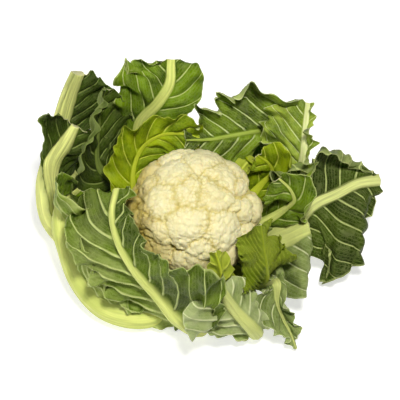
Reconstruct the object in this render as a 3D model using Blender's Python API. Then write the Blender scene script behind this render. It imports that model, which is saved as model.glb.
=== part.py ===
"""A head of cauliflower, trimmed for market and standing on its cut stem.

The white curd is a lumpy dome on a short thick stem. Seventeen leaves grow from the stem in three
tiers: long outer leaves with thick pale ribs lie low and turn up round the head, and small tender
inner leaves stand close against the curd. Lengths below are in millimetres; the model is built in
metres with +Z up. The origin is the middle of the stem's cut face, on the ground.
"""
import math

import bmesh
import bpy
import numpy as np

MM = 0.001

CURD_RADIUS = 71.0     # half the width of the head
CURD_WAIST = 95.0      # height of the widest part
CURD_DOME = 56.0       # rise from the waist to the crown
CURD_KEEL = 45.0       # drop from the waist to the underside
CURD_SEAT = 30.0       # radius of the underside where the stem enters
FLORETS = 70
FLORET_RISE = 4.5

STEM_RADIUS = 26.0
STEM_TOP = 58.0         # just below the curd's underside

BLADE = 2.2            # thickness of a leaf's blade
LEAF_ROWS = 14

FRESH = (0.20, 0.29, 0.05, 1.0)
DEEP = (0.08, 0.13, 0.02, 1.0)
TENDER = (0.34, 0.42, 0.05, 1.0)
GLAUCOUS = (0.22, 0.28, 0.12, 1.0)

# Each leaf is a list of stations from its root to its tip. A station is
# (bearing in degrees, distance from the axis, height, left half width, right half width,
#  left rise, left curl, right rise, right curl in degrees, width of the midrib).
# Left and right are seen on the upper face, looking from the root to the tip. Rise is the slope of
# the half blade where it leaves the rib, and curl is how far it turns from there to its margin.
LEAVES = {
    "leaf_front_left": (FRESH, {}, [
        (-84, 29, 29, 9, 9, 0, 0, 0, 0, 17),
        (-84, 58, 15, 11, 11, 0, 0, 0, 0, 19),
        (-86, 84, 15, 9, 9, 0, 0, 0, 0, 15),
        (-98, 88, 34, 30, 18, 8, 30, -10, -10, 13),
        (-114, 84, 66, 44, 26, 0, 40, -20, -20, 12),
        (-130, 86, 94, 40, 34, 0, 35, -30, -10, 11),
        (-147, 85, 114, 24, 34, 0, 35, -30, -10, 9),
        (-166, 80, 124, 12, 26, 0, 40, -30, 0, 8),
        (178, 74, 132, 8, 14, 0, 30, -20, 0, 5)]),
    "leaf_front": (GLAUCOUS, {}, [
        (-57, 27, 15, 8, 8, 0, 0, 0, 0, 16),
        (-57, 66, 12, 13, 13, 0, 0, 0, 0, 23),
        (-55, 108, 14, 13, 13, 0, 0, 0, 0, 22),
        (-60, 109, 40, 12, 34, 0, 0, 0, -10, 21),
        (-67, 98, 65, 18, 44, 0, 40, -20, -20, 19),
        (-74, 89, 92, 14, 22, 0, 50, -20, 0, 17)]),
    "leaf_front_tip": (GLAUCOUS, {"faces": (60, -60, 150)}, [
        (-27, 28, 15, 5, 5, 0, 0, 0, 0, 10),
        (-30, 74, 22, 7, 7, 0, 0, 0, 0, 11),
        (-36, 102, 56, 8, 10, 0, 0, 0, 0, 8),
        (-40, 108, 46, 13, 13, 20, 20, 20, 20, 5),
        (-42, 121, 24, 13, 13, 30, 30, 30, 30, 4),
        (-43, 134, 12, 10, 10, 30, 30, 30, 30, 3),
        (-45, 145, 6, 2, 2, 20, 20, 20, 20, 2)]),
    "leaf_left_low": (FRESH, {}, [
        (-112, 27, 15, 9, 9, 0, 0, 0, 0, 17),
        (-116, 62, 11, 13, 13, 0, 0, 0, 0, 26),
        (-128, 88, 13, 14, 14, 0, 0, 0, 0, 27),
        (-145, 107, 15, 14, 14, 0, 0, 0, 0, 26),
        (-161, 119, 30, 13, 14, 0, 0, 0, 40, 23),
        (-175, 127, 46, 13, 24, 0, 0, 0, 60, 20),
        (175, 135, 62, 18, 30, 0, 30, 10, 60, 17),
        (168, 135, 76, 26, 26, 0, 60, 10, 60, 12),
        (166, 127, 86, 16, 12, 0, 60, 0, 40, 6)]),
    "leaf_left_mid": (DEEP, {}, [
        (-167, 28, 15, 9, 9, 0, 0, 0, 0, 17),
        (-172, 70, 12, 13, 13, 0, 0, 0, 0, 26),
        (174, 116, 16, 14, 14, 0, 0, 0, 0, 28),
        (166, 150, 36, 14, 14, 0, 0, 0, 0, 27),
        (161, 158, 58, 18, 16, 20, 20, 0, 0, 25),
        (153, 164, 80, 26, 20, 30, 40, -20, 0, 22),
        (147, 158, 98, 34, 24, 40, 50, -50, -20, 16),
        (142, 155, 110, 22, 26, 40, 60, -60, -40, 9)]),
    "leaf_left_back": (DEEP, {}, [
        (156, 27, 15, 9, 9, 0, 0, 0, 0, 17),
        (152, 75, 11, 13, 13, 0, 0, 0, 0, 26),
        (150, 125, 20, 14, 16, 0, 0, 0, 20, 26),
        (144, 180, 60, 14, 30, 0, 0, 0, 50, 24),
        (138, 185, 92, 14, 40, 0, 0, 0, 70, 22),
        (133, 189, 115, 12, 36, 0, 0, 0, 90, 19),
        (129, 191, 133, 10, 26, 0, 0, 0, 90, 17)]),
    "leaf_back_left": (DEEP, {}, [
        (134, 28, 31, 9, 9, 0, 0, 0, 0, 16),
        (136, 70, 26, 12, 12, 0, 0, 0, 0, 18),
        (138, 100, 46, 26, 24, 0, 10, 0, 10, 15),
        (145, 121, 84, 30, 28, 0, 30, 0, 40, 12),
        (138, 132, 112, 28, 26, 0, 50, 0, 60, 9),
        (131, 144, 132, 24, 22, 0, 60, 0, 60, 6),
        (127, 150, 142, 8, 14, 0, 50, 0, 50, 3)]),
    "leaf_back": (FRESH, {"faces": (-60, -200, 240), "sweep": 0.1}, [
        (108, 27, 15, 9, 9, 0, 0, 0, 0, 17),
        (112, 72, 12, 13, 13, 0, 0, 0, 0, 24),
        (115, 112, 42, 16, 16, 0, 0, 0, 0, 20),
        (116, 127, 98, 22, 24, 0, 10, 0, 20, 13),
        (107, 125, 124, 42, 26, 0, 20, 10, 30, 14),
        (101, 131, 142, 48, 26, 0, 30, 0, 10, 13),
        (99, 149, 158, 44, 34, 0, 40, -10, 0, 10)]),
    "leaf_back_right": (FRESH, {"faces": (0, -60, 170)}, [
        (54, 28, 15, 9, 9, 0, 0, 0, 0, 17),
        (49, 75, 12, 13, 13, 0, 0, 0, 0, 20),
        (46, 108, 46, 18, 22, 0, 0, 0, 0, 15),
        (46, 130, 84, 14, 26, 0, 0, 0, 20, 10),
        (50, 125, 106, 14, 46, 0, -20, -15, 40, 8),
        (55, 106, 118, 16, 80, 0, -20, -20, 40, 7),
        (64, 90, 120, 14, 76, 0, -20, -20, 40, 5),
        (79, 77, 120, 12, 44, 0, -10, -20, 40, 4),
        (90, 75, 119, 8, 14, 0, 0, -20, 30, 3)]),
    "leaf_right_upper": (FRESH, {"faces": (20, -60, 190)}, [
        (30, 28, 31, 9, 9, 0, 0, 0, 0, 16),
        (28, 75, 34, 11, 11, 0, 0, 0, 0, 19),
        (26, 104, 60, 13, 13, 0, 0, 0, 0, 18),
        (25, 126, 92, 18, 14, 0, 10, 0, 10, 14),
        (27, 131, 108, 18, 18, 0, 20, 0, 30, 11),
        (30, 141, 122, 10, 18, 0, 20, 0, 50, 9),
        (40, 153, 136, 12, 12, 0, 30, 0, 50, 6)]),
    "leaf_right": (DEEP, {"faces": (60, -60, 200), "sweep": -0.2}, [
        (4, 27, 15, 8, 8, 0, 0, 0, 0, 17),
        (6, 70, 12, 13, 13, 0, 0, 0, 0, 24),
        (13, 104, 32, 12, 14, 0, 0, 0, 0, 19),
        (17, 129, 56, 14, 40, 0, 30, 0, -20, 15),
        (17, 155, 66, 44, 84, 0, 90, 0, -30, 14),
        (18, 180, 70, 44, 84, 0, 100, 0, -30, 14),
        (17, 201, 72, 34, 56, 0, 100, 0, -30, 13)]),
    "leaf_right_low": (GLAUCOUS, {"rib_deep": 0.5, "sweep": -0.5}, [
        (-14, 28, 31, 9, 9, 0, 0, 0, 0, 17),
        (-14, 60, 34, 14, 14, 0, 0, 0, 0, 26),
        (1, 83, 54, 17, 18, 0, 0, 0, -20, 32),
        (1, 99, 64, 17, 40, 0, 0, -20, -50, 32),
        (3, 115, 72, 12, 74, 0, 0, -40, -50, 22)]),
    "leaf_inner_back": (TENDER, {"faces": (-10, -80, 190)}, [
        (158, 28, 45, 8, 8, 0, 0, 0, 0, 14),
        (156, 64, 50, 11, 11, 0, 0, 0, 0, 14),
        (150, 85, 78, 16, 20, 0, 0, 0, 0, 12),
        (127, 96, 110, 26, 20, 0, 20, 0, 20, 10),
        (119, 94, 122, 30, 16, 0, 20, 0, 30, 9),
        (108, 87, 123, 26, 12, 0, 20, 0, 30, 6),
        (99, 77, 120, 14, 8, 0, 20, 0, 20, 3)]),
    "leaf_inner_right": (FRESH, {}, [
        (8, 29, 45, 8, 8, 0, 0, 0, 0, 13),
        (12, 68, 56, 11, 11, 0, 0, 0, 0, 13),
        (11, 95, 80, 15, 14, 0, 10, 0, 10, 11),
        (10, 102, 94, 16, 18, 0, 20, 0, 20, 8),
        (13, 98, 107, 17, 20, 0, 30, 0, 30, 6),
        (18, 89, 117, 12, 14, 0, 40, 0, 40, 4)]),
    "leaf_inner_back_right": (TENDER, {}, [
        (44, 29, 45, 8, 8, 0, 0, 0, 0, 13),
        (39, 66, 54, 10, 10, 0, 0, 0, 0, 12),
        (37, 90, 78, 13, 11, 0, 0, 0, 0, 9),
        (36, 98, 97, 15, 14, 0, 10, 0, 10, 7),
        (40, 94, 111, 14, 15, 0, 20, 0, 20, 5),
        (44, 86, 121, 8, 11, 0, 20, 0, 20, 3)]),
    "leaf_inner_front_right": (TENDER, {}, [
        (-38, 28, 45, 8, 8, 0, 0, 0, 0, 13),
        (-38, 66, 42, 14, 14, 0, 0, 0, 0, 13),
        (-38, 88, 58, 26, 26, 0, 0, 0, 0, 9),
        (-39, 91, 86, 28, 32, 0, 20, 0, 10, 6),
        (-34, 81, 106, 24, 30, 0, 30, 0, 30, 4),
        (-27, 72, 124, 14, 18, 0, 40, 0, 50, 3)]),
    "leaf_inner_front": (TENDER, {}, [
        (-76, 28, 45, 6, 6, 0, 0, 0, 0, 9),
        (-72, 60, 48, 7, 7, 0, 0, 0, 0, 8),
        (-67, 80, 66, 9, 9, 0, 0, 0, 0, 6),
        (-62, 79, 88, 11, 11, 0, 0, 0, 0, 4),
        (-60, 77, 104, 9, 9, 0, 0, 0, 0, 3),
        (-58, 71, 122, 4, 4, 0, 0, 0, 0, 2)]),
}


def clear_scene():
    for obj in list(bpy.data.objects):
        bpy.data.objects.remove(obj, do_unlink=True)


def material(name, colour, roughness):
    mat = bpy.data.materials.new(name)
    mat.use_nodes = True
    shader = mat.node_tree.nodes["Principled BSDF"]
    shader.inputs["Base Color"].default_value = colour
    shader.inputs["Roughness"].default_value = roughness
    shader.inputs["Metallic"].default_value = 0.0
    return mat


def add_piece(name, points, faces, mat):
    """A smooth shaded object from points in millimetres and faces wound to point outwards."""
    mesh = bpy.data.meshes.new(name)
    shape = bmesh.new()
    verts = [shape.verts.new(point) for point in np.asarray(points) * MM]
    for face in faces:
        shape.faces.new([verts[i] for i in face])
    bmesh.ops.recalc_face_normals(shape, faces=shape.faces)
    shape.to_mesh(mesh)
    shape.free()
    mesh.materials.append(mat)
    mesh.shade_smooth()
    obj = bpy.data.objects.new(name, mesh)
    bpy.context.scene.collection.objects.link(obj)
    return obj


def unit(vectors):
    return vectors / np.linalg.norm(vectors, axis=-1, keepdims=True)


def along(rows, at):
    """Values of the stations at fractions of the leaf's length, joined by smooth cubic curves."""
    steps = np.linalg.norm(np.diff(rows[:, :3], axis=0), axis=1)
    knots = np.concatenate([[0.0], np.cumsum(steps)]) / steps.sum()
    slopes = np.gradient(rows, knots, axis=0)
    at = np.clip(at, 0.0, 1.0)
    i = np.clip(np.searchsorted(knots, at, side="right") - 1, 0, len(knots) - 2)
    span = (knots[i + 1] - knots[i])[:, None]
    f = (at - knots[i])[:, None] / span
    return ((1 + 2 * f) * (1 - f) ** 2 * rows[i] + f * (1 - f) ** 2 * span * slopes[i]
            + f * f * (3 - 2 * f) * rows[i + 1] + f * f * (f - 1) * span * slopes[i + 1])


def ring_faces(rows, columns):
    """Faces of a closed tube of rings, and a strip of faces across each of its two ends."""
    faces = [(i * columns + j, i * columns + (j + 1) % columns,
              (i + 1) * columns + (j + 1) % columns, (i + 1) * columns + j)
             for i in range(rows - 1) for j in range(columns)]
    for first in (0, (rows - 1) * columns):
        faces += [(first + k, first + columns - 1 - k, first + columns - 2 - k, first + k + 1)
                  for k in range(columns // 2 - 1)]
    return faces


def half_blade(width, rise, curl, rib, sweep):
    """Sideways, upward and forward offsets of a half blade, from its rib to its margin."""
    edge = np.minimum(rib / 2, 0.9 * width)[:, None]
    rest = width[:, None] - edge
    spread = np.concatenate([edge * [0.0, 0.6, 1.0], edge + rest * [0.35, 0.7, 1.0]], axis=1)
    part = spread / width[:, None]
    slope = np.radians(rise)[:, None] + np.radians(curl)[:, None] * part ** 1.2
    step = np.diff(spread, axis=1)
    middle = (slope[:, 1:] + slope[:, :-1]) / 2
    start = np.zeros((len(width), 1))
    out = np.concatenate([start, np.cumsum(step * np.cos(middle), axis=1)], axis=1)
    up = np.concatenate([start, np.cumsum(step * np.sin(middle), axis=1)], axis=1)
    return spread, out, up, sweep * width[:, None] * part ** 1.5


def leaf(name, colour, stations, faces=(0, 0, CURD_WAIST), sweep=0.25, rib_deep=0.8):
    """A leaf: a blade of even thickness carried along its midrib, which stands out below it."""
    table = np.array(stations, dtype=float)
    bearing = np.radians(table[:, 0])
    rows = np.column_stack([table[:, 1] * np.cos(bearing), table[:, 1] * np.sin(bearing), table[:, 2:]])
    s = np.linspace(0.0, 1.0, LEAF_ROWS)
    value = along(rows, s)
    spine = value[:, :3]
    ahead = unit(along(rows, s + 0.01)[:, :3] - along(rows, s - 0.01)[:, :3])
    look = np.array(faces, dtype=float) - spine
    up = unit(look - (look * ahead).sum(axis=1, keepdims=True) * ahead)
    side = np.cross(ahead, up)
    rib = value[:, 9]
    reach = np.clip(s / 0.3, 0.0, 1.0)[:, None]
    halves = []
    for sign, k in ((-1, 3), (1, 4)):
        rise, curl = value[:, 2 * k - 1], value[:, 2 * k]
        spread, out, lift, forward = half_blade(np.maximum(value[:, k], 1.0), rise, curl, rib, sweep)
        points = (spine[:, None] + sign * side[:, None] * out[..., None] + up[:, None] * lift[..., None]
                  + ahead[:, None] * (forward * reach)[..., None])
        halves.append((sign * spread, points))
    (left_x, left), (right_x, right) = halves
    sheet = np.concatenate([left[:, :0:-1], right], axis=1)
    across = np.concatenate([left_x[:, :0:-1], right_x], axis=1)
    normal = unit(np.cross(np.gradient(sheet, axis=1), np.gradient(sheet, axis=0)))
    half = rib[:, None] / 2
    bulge = np.sqrt(np.clip(1 - (across / half) ** 2, 0, 1)) * half * rib_deep
    top = sheet + normal * (BLADE / 2 + 0.2 * bulge)[..., None]
    under = sheet - normal * (BLADE / 2 + 0.8 * bulge)[..., None]
    rings = np.concatenate([top, under[:, ::-1]], axis=1)
    mat = material(name, colour, 0.5)
    return add_piece(name, rings.reshape(-1, 3), ring_faces(LEAF_ROWS, rings.shape[1]), mat)


def floret_centres():
    """Directions of the florets, on a golden angle spiral from the crown to below the waist."""
    k = np.arange(FLORETS)
    z = 1.0 - 1.35 * (k + 0.5) / FLORETS
    turn = k * math.pi * (3 - math.sqrt(5))
    flat = np.sqrt(1 - z * z)
    return np.column_stack([flat * np.cos(turn), flat * np.sin(turn), z])


def curd(name):
    """The head: a flattened dome, narrower below its waist, covered with rounded florets."""
    rings, columns = 24, 48
    lowest = math.pi - math.asin(CURD_SEAT / CURD_RADIUS)
    tilt = np.linspace(0.06, lowest, rings)[:, None]
    turn = np.linspace(0, 2 * math.pi, columns, endpoint=False)[None, :]
    way = np.stack([np.sin(tilt) * np.cos(turn), np.sin(tilt) * np.sin(turn),
                    np.cos(tilt) + 0 * turn], axis=-1)
    near = (way @ floret_centres().T).max(axis=-1)
    spacing = math.sqrt(4 * math.pi * 0.675 / FLORETS)
    swell = FLORET_RISE * np.clip(1 - (np.arccos(near) / (0.75 * spacing)) ** 2, 0, 1)
    swell = swell * np.clip((way[..., 2] + 0.6) / 0.4, 0, 1)
    depth = np.where(way[..., 2] > 0, CURD_DOME, CURD_KEEL)
    size = np.stack([0 * depth + CURD_RADIUS, 0 * depth + CURD_RADIUS, depth], axis=-1)
    points = way * (size - FLORET_RISE + swell[..., None]) + [0, 0, CURD_WAIST]
    faces = [(i * columns + j, (i + 1) * columns + j, (i + 1) * columns + (j + 1) % columns,
              i * columns + (j + 1) % columns) for i in range(rings - 1) for j in range(columns)]
    faces.append(tuple(range(columns)))
    faces.append(tuple(range((rings - 1) * columns, rings * columns)))
    mat = material(name, (0.80, 0.74, 0.42, 1.0), 0.6)
    return add_piece(name, points.reshape(-1, 3), faces, mat)


def stem(name):
    """The stump: a short thick turned stem, cut flat below and spreading into the curd above."""
    profile = [(STEM_RADIUS - 1.5, 0), (STEM_RADIUS, 1.5), (STEM_RADIUS - 1, 20),
               (STEM_RADIUS - 2, 36), (STEM_RADIUS, STEM_TOP)]
    columns = 40
    turn = np.linspace(0, 2 * math.pi, columns, endpoint=False)
    points = np.array([[r * math.cos(a), r * math.sin(a), z]
                       for r, z in profile for a in turn])
    faces = [(i * columns + j, i * columns + (j + 1) % columns,
              (i + 1) * columns + (j + 1) % columns, (i + 1) * columns + j)
             for i in range(len(profile) - 1) for j in range(columns)]
    faces.append(tuple(range(columns)))
    faces.append(tuple(range((len(profile) - 1) * columns, len(profile) * columns)))
    return add_piece(name, points, faces, material(name, (0.62, 0.62, 0.34, 1.0), 0.55))


def build():
    clear_scene()
    curd("curd")
    stem("stem")
    for name, (colour, shape, stations) in LEAVES.items():
        leaf(name, colour, stations, **shape)


build()
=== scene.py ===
import math

import bpy
import numpy as np
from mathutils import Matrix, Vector


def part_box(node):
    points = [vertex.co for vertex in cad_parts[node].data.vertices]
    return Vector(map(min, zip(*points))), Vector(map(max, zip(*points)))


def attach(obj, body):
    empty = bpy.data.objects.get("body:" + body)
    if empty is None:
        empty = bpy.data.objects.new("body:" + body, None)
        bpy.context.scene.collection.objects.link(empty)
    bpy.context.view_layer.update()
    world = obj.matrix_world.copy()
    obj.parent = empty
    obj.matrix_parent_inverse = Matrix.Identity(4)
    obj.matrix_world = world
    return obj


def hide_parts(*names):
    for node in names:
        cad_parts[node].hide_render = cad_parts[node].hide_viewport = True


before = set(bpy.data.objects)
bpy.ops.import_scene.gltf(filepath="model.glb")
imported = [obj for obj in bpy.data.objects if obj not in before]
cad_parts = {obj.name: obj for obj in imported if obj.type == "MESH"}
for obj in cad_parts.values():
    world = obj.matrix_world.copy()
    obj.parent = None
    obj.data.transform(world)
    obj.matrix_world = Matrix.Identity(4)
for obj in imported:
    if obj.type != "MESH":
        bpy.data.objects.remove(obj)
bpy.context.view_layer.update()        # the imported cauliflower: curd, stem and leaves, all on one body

# ---- Ground, camera and light -------------------------------------------------------------------
# The head stands on a plain pale table under broad soft lamps, and is seen from above its front.
scene = bpy.context.scene
scene.view_settings.view_transform = "Standard"

stem_low, stem_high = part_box("stem")
curd_low, curd_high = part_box("curd")
axis = Vector(((stem_low[0] + stem_high[0]) / 2, (stem_low[1] + stem_high[1]) / 2, stem_low[2]))
HEAD_WIDTH = 140.8                                # millimetres across the curd
MM = (curd_high[0] - curd_low[0]) / HEAD_WIDTH    # one of them in the frame's own measure


def shader_of(name):
    """A new material and its Principled shader, nodes and links."""
    mat = bpy.data.materials.new(name)
    mat.use_nodes = True
    tree = mat.node_tree
    return mat, tree.nodes["Principled BSDF"], tree.nodes, tree.links


TABLE_EDGE = 3.0                                  # metres from the table's middle to each edge
table = bpy.data.objects.new("table", bpy.data.meshes.new("table"))
table_corners = [(TABLE_EDGE * a, TABLE_EDGE * b, 0) for a, b in ((-1, -1), (1, -1), (1, 1), (-1, 1))]
table.data.from_pydata(table_corners, [], [(0, 1, 2, 3)])
table.location = (axis.x, axis.y, axis.z)
scene.collection.objects.link(table)
table_finish, table_shader = shader_of("table_white")[:2]
table_shader.inputs["Base Color"].default_value = (0.65, 0.65, 0.65, 1)
table_shader.inputs["Roughness"].default_value = 0.9
table_shader.inputs["Emission Color"].default_value = (1, 1, 1, 1)
table_shader.inputs["Emission Strength"].default_value = 0.6
table.data.materials.append(table_finish)

camera = bpy.data.objects.new("camera", bpy.data.cameras.new("camera"))
scene.collection.objects.link(camera)
TILT = math.radians(55)                           # how steeply it looks down
DISTANCE = 1.3
aim = axis + Vector((6, 17, 95)) * MM             # a little behind the middle of the curd
away = Vector((0, -math.cos(TILT), math.sin(TILT)))
camera.location = aim + away * DISTANCE
camera.rotation_euler = (-away).to_track_quat("-Z", "Y").to_euler()
camera.data.lens = 117
camera.data.clip_end = 20
scene.camera = camera


def soft_lamp(name, place, size, power, tint=(1, 1, 1)):
    """A square area lamp that faces the head."""
    lamp = bpy.data.lights.new(name, "AREA")
    lamp.size, lamp.energy, lamp.color = size, power, tint
    holder = bpy.data.objects.new(name, lamp)
    holder.location = place
    holder.rotation_euler = (Vector(place) - Vector((0, 0, 0.1))).to_track_quat("Z", "Y").to_euler()
    scene.collection.objects.link(holder)


soft_lamp("key_lamp", (0.15, -0.35, 1.35), 0.22, 17.5, (1.0, 0.985, 0.95))
soft_lamp("fill_lamp", (-1.0, -0.4, 0.65), 0.3, 4.6)
soft_lamp("back_lamp", (0.6, 0.9, 0.9), 0.5, 1.6)
sky = bpy.data.worlds.new("sky")
sky.use_nodes = True
sky.node_tree.nodes["Background"].inputs["Color"].default_value = (1, 1, 1, 1)
sky.node_tree.nodes["Background"].inputs["Strength"].default_value = 0.045
scene.world = sky


# ---- The curd -----------------------------------------------------------------------------------
# The white head is a mass of undeveloped flower buds: big rounded clusters, each made of knobs, each
# knob made of tiny grains. It is firm, matt and faintly waxy, and grows straight from the stem.
WAIST, KEEL = 95, 45             # millimetres from the table up to its widest level, and down from that
KNOB, GRAIN, SEED = 9, 4.2, 2.4  # widths in millimetres of what a cluster is made of
FLORETS = [                      # bearing and tilt from the crown in degrees, width in millimetres
    (74, 34, 46), (143, 22, 46), (-153, 31, 50), (-123, 10, 46), (-138, 54, 42), (-102, 37, 50),
    (-160, 62, 32), (-29, 18, 44), (27, 30, 40), (15, 46, 24), (-22, 42, 18), (-60, 50, 46),
    (-17, 58, 24), (-4, 72, 30), (-80, 64, 32), (42, 50, 28), (170, 44, 34), (178, 66, 30),
    (110, 58, 44), (140, 66, 40), (80, 72, 44), (50, 80, 40), (10, 100, 40), (-35, 82, 38),
    (-60, 92, 44), (-95, 88, 46), (-130, 84, 44), (-165, 90, 44), (160, 98, 44), (120, 96, 46)]


def scattered(cells, seed):
    """Three repeatable numbers from 0 to 1 for each whole numbered cell: fractions of large sines."""
    mix = np.array([[127.1, 269.5, 113.5], [311.7, 183.3, 271.9], [74.7, 246.1, 124.6]])
    return np.abs(np.sin(cells @ mix + 17.17 * seed) * 43758.5453) % 1.0


def cell_distances(points, size, seed):
    """Distances, in cells, from each point to the nearest and second nearest of one centre per cell."""
    place = points / size
    cell = np.floor(place)
    near, second = np.full(len(place), 9.0), np.full(len(place), 9.0)
    for step in np.stack(np.meshgrid(*[[-1, 0, 1]] * 3), -1).reshape(-1, 3):
        centre = cell + step + 0.1 + 0.8 * scattered(cell + step, seed)
        gap = np.linalg.norm(centre - place, axis=1)
        second = np.where(gap < near, near, np.minimum(second, gap))
        near = np.minimum(near, gap)
    return near, second


def soft_noise(points, size, seed):
    """Smooth noise from -1 to 1: values at the corners of cells, blended with 3f^2 - 2f^3."""
    place = points / size
    cell = np.floor(place)
    f = place - cell
    f = f * f * (3 - 2 * f)
    total = 0.0
    for corner in np.stack(np.meshgrid(*[[0, 1]] * 3), -1).reshape(-1, 3):
        weight = np.prod(np.where(corner == 1, f, 1 - f), axis=1)
        total = total + weight * scattered(cell + corner, seed)[:, 0]
    return 2 * total - 1


def dome(gap):
    """Height of a ball's cap at this part of its radius: sqrt(1 - gap^2), and 0 outside it."""
    return np.sqrt(np.clip(1 - gap ** 2, 0, 1))


def curd_grid(count):
    """Unit directions over the head. A square grid is pressed into a disc by concentric squares,
    and the disc's radius becomes the tilt from the crown. Most of the disc covers the head down to
    below its waist, with equal areas, and the rest of it the keel down to the stem."""
    share = 0.92                                     # how much of the disc's radius the head takes
    low, last = math.radians(108), math.radians(155)    # tilts at that radius and at the disc's edge
    a, b = np.meshgrid(np.linspace(-1, 1, count), np.linspace(-1, 1, count), indexing="ij")
    wide = np.abs(a) > np.abs(b)
    radius = np.where(wide, a, b)
    safe = np.where(radius == 0, 1, radius)
    turn = np.where(wide, np.pi / 4 * b / safe, np.pi / 2 - np.pi / 4 * a / safe)
    x, y = radius * np.cos(turn), radius * np.sin(turn)
    part = np.hypot(x, y)
    bearing = np.arctan2(y, x)
    upper = 2 * np.arcsin(np.clip(part / share, 0, 1) * np.sin(low / 2))
    lower = low + np.clip(part - share, 0, 1) / (1 - share) * (last - low)
    tilt = np.where(part < share, upper, lower)
    return np.stack([np.sin(tilt) * np.cos(bearing), np.sin(tilt) * np.sin(bearing), np.cos(tilt)], -1)


def grid_faces(rows, columns):
    """Four sided faces over a grid of points numbered along its rows."""
    i, j = np.meshgrid(np.arange(rows - 1), np.arange(columns - 1), indexing="ij")
    first = (i * columns + j).ravel()
    return np.stack([first, first + columns, first + columns + 1, first + 1], -1)


def new_piece(name, points, faces, finish, node, values=None, uv=None, loose=()):
    """A smooth mesh object from arrays, with named values on its points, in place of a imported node."""
    mesh = bpy.data.meshes.new(name)
    mesh.from_pydata((np.asarray(points) + np.array(axis)).tolist(), [],
                     np.asarray(faces).tolist() + list(loose))
    for key, numbers in (values or {}).items():
        attribute = mesh.attributes.new(key, "FLOAT", "POINT")
        attribute.data.foreach_set("value", np.float32(numbers).ravel())
    if uv is not None:
        corners = np.empty(len(mesh.loops), dtype=np.int32)
        mesh.loops.foreach_get("vertex_index", corners)
        mesh.uv_layers.new(name="UVMap").data.foreach_set("uv", np.float32(uv[corners]).ravel())
    mesh.materials.append(finish)
    mesh.shade_smooth()
    piece = bpy.data.objects.new(name, mesh)
    scene.collection.objects.link(piece)
    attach(piece, "root")
    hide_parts(node)


def curd_surface(count):
    """The head. Its radius is an ellipsoid's, less the depth that domes of four sizes leave between
    them: clusters of 18 to 50 mm, then knobs, grains and seeds. The values say how deep in a cleft a
    point is, how near to one and how near to a joint of knobs or grains, where the finish paints shade,
    and how much painted shade darkens the left flank, with half as much golden tint low down."""
    way = curd_grid(count).reshape(-1, 3)
    half = (curd_high[0] - curd_low[0]) / 2
    waist, crown, keel = WAIST * MM, curd_high[2] - axis.z, KEEL * MM
    round_way = way * half
    bend = np.stack([soft_noise(round_way, 14 * MM, s) for s in (1, 2, 3)], -1)
    small_bend = np.stack([soft_noise(round_way, 6 * MM, s) for s in (11, 12, 13)], -1)
    wander = way + 0.06 * bend + 0.03 * small_bend
    wander /= np.linalg.norm(wander, axis=1, keepdims=True)
    floor = -0.35                  # level of a cleft's bottom; a cluster 40 mm wide rises 1 above it
    best, rest = np.full(len(way), -9.0), np.full(len(way), -9.0)
    for bearing, tilt, width in FLORETS:
        t, b = math.radians(tilt), math.radians(bearing)
        centre = np.array([math.sin(t) * math.cos(b), math.sin(t) * math.sin(b), math.cos(t)])
        angle = np.arccos(np.clip(wander @ centre, -1, 1)) * half
        lift = dome(angle / (0.64 * width * MM)) + 0.008 * (width - 40) + floor
        rest = np.where(lift > best, best, np.maximum(rest, lift))
        best = np.maximum(best, lift)
    best = np.maximum(best, floor)
    parting = best - np.maximum(rest, floor)
    cleft = np.clip(1 - parting / 0.13, 0, 1)
    brink = np.clip(1 - parting / 0.5, 0, 1)
    brink = brink * np.clip(0.7 + 0.8 * soft_noise(round_way, 24 * MM, 15), 0.25, 1)

    where = round_way + bend * 1.5 * MM
    knob, knob_next = cell_distances(where, KNOB * MM, 5)
    grain, grain_next = cell_distances(where, GRAIN * MM, 6)
    seed = cell_distances(round_way, SEED * MM, 7)[0]
    patches = 1.4 * soft_noise(round_way, 30 * MM, 9)
    crisp = 0.72 + 0.28 * np.clip(0.5 + patches + 0.4 * (0.75 - way[:, 2]), 0, 1)
    depth = 9.0 * (floor + 1 - best) + crisp * 2.7 * (1 - dome(knob / 0.8))
    depth = depth + (0.9 + 2.4 * brink) * (1 - dome(grain / 0.8))
    depth = depth + (0.7 + 1.1 * brink) * (1 - dome(seed / 0.85))
    depth = depth + 1.2 * (1 - soft_noise(round_way, 34 * MM, 8))
    depth = depth * np.clip((way[:, 2] + 0.9) / 0.25, 0, 1)      # smooth where it joins the stem
    upright = np.where(way[:, 2] > 0, crown - waist, keel)
    size = np.stack([half + 0 * upright, half + 0 * upright, upright], -1)
    points = way * (size + (1.2 - depth[:, None]) * MM) + [0, 0, waist]

    seam = np.clip(1 - (knob_next - knob) / 0.16, 0, 1)
    fine = np.clip(1 - (grain_next - grain) / 0.25, 0, 1)
    patchy = soft_noise(round_way, 12 * MM, 10)
    # Painted shade: a dark ochre tint over the left flank, where the leaf beside the head shades it, and
    # half as much of that tint over the lower curd.
    shaded_flank = np.clip((0.05 - way[:, 0] - 0.6 * way[:, 2]) / 0.5, 0, 1) * (0.8 + 0.2 * patchy)
    low = np.clip((0.45 - way[:, 2]) / 0.5, 0, 1)
    return points, {"cleft": cleft ** 1.5, "seam": seam, "fine": fine * (0.2 + 0.8 * brink),
                    "brink": brink, "left_shade_and_low_tint": np.maximum(shaded_flank, 0.5 * low)}


def mix_node(nodes, links, factor, first, second, blend="MIX"):
    """Mix two colours; factor and colours are either a socket or a plain value."""
    node = nodes.new("ShaderNodeMix")
    node.data_type, node.blend_type = "RGBA", blend
    for socket, value in ((node.inputs[0], factor), (node.inputs[6], first), (node.inputs[7], second)):
        if isinstance(value, bpy.types.NodeSocket):
            links.new(value, socket)
        else:
            socket.default_value = value
    return node.outputs[2]


def read_value(nodes, name):
    """The value that the mesh carries under this name."""
    node = nodes.new("ShaderNodeAttribute")
    node.attribute_name = name
    return node.outputs["Fac"]


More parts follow.
